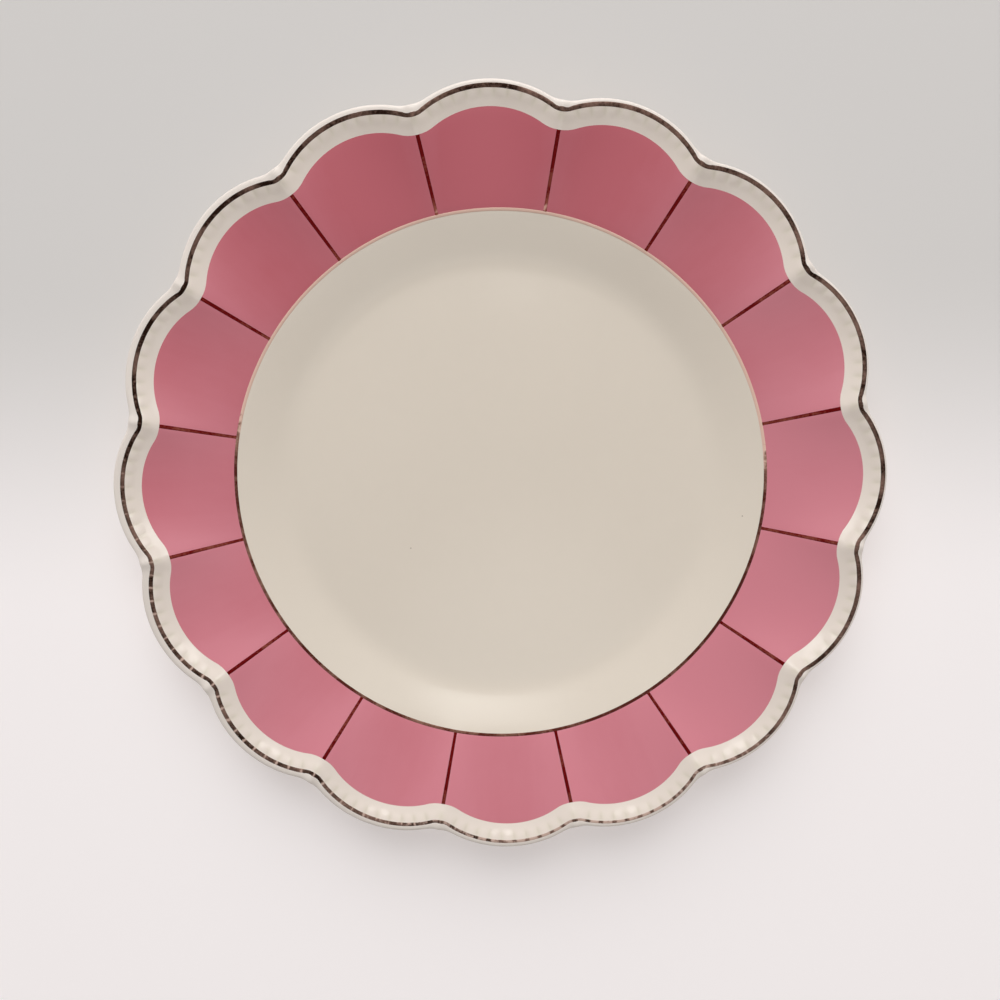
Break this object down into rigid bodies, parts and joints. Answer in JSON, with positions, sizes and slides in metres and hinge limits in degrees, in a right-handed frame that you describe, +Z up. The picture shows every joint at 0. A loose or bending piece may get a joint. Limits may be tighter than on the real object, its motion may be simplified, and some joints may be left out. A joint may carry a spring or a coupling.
{
  "type": "salad plate",
  "caption": "Round glazed ceramic salad plate with a plain well and a scalloped, cupped rim that carries pink enamel panels, fired gold lines and a beaded border.",
  "frame": {"origin": "middle of the foot ring, on the surface that the plate stands on", "axes": "+Z up along the plate's axis, +X through the crest of a lobe, with a lobe's crest on +Y too"},
  "size_m": [0.2094, 0.2094, 0.0164],
  "materials": {
    "ivory_glaze": "smooth glossy ivory glaze",
    "pink_enamel": "glossy pink overglaze enamel with faint streaks",
    "fired_gold": "bright fired gold, slightly worn"
  },
  "bodies": {
    "root": {"plate_body": "ivory_glaze", "pink_panel_01": "pink_enamel", "pink_panel_02": "pink_enamel", "pink_panel_03": "pink_enamel", "pink_panel_04": "pink_enamel", "pink_panel_05": "pink_enamel", "pink_panel_06": "pink_enamel", "pink_panel_07": "pink_enamel", "pink_panel_08": "pink_enamel", "pink_panel_09": "pink_enamel", "pink_panel_10": "pink_enamel", "pink_panel_11": "pink_enamel", "pink_panel_12": "pink_enamel", "pink_panel_13": "pink_enamel", "pink_panel_14": "pink_enamel", "pink_panel_15": "pink_enamel", "pink_panel_16": "pink_enamel", "gold_spoke_01": "fired_gold", "gold_spoke_02": "fired_gold", "gold_spoke_03": "fired_gold", "gold_spoke_04": "fired_gold", "gold_spoke_05": "fired_gold", "gold_spoke_06": "fired_gold", "gold_spoke_07": "fired_gold", "gold_spoke_08": "fired_gold", "gold_spoke_09": "fired_gold", "gold_spoke_10": "fired_gold", "gold_spoke_11": "fired_gold", "gold_spoke_12": "fired_gold", "gold_spoke_13": "fired_gold", "gold_spoke_14": "fired_gold", "gold_spoke_15": "fired_gold", "gold_spoke_16": "fired_gold", "gold_well_ring": "fired_gold", "gold_rim_line": "fired_gold"}
  },
  "joints": []
}
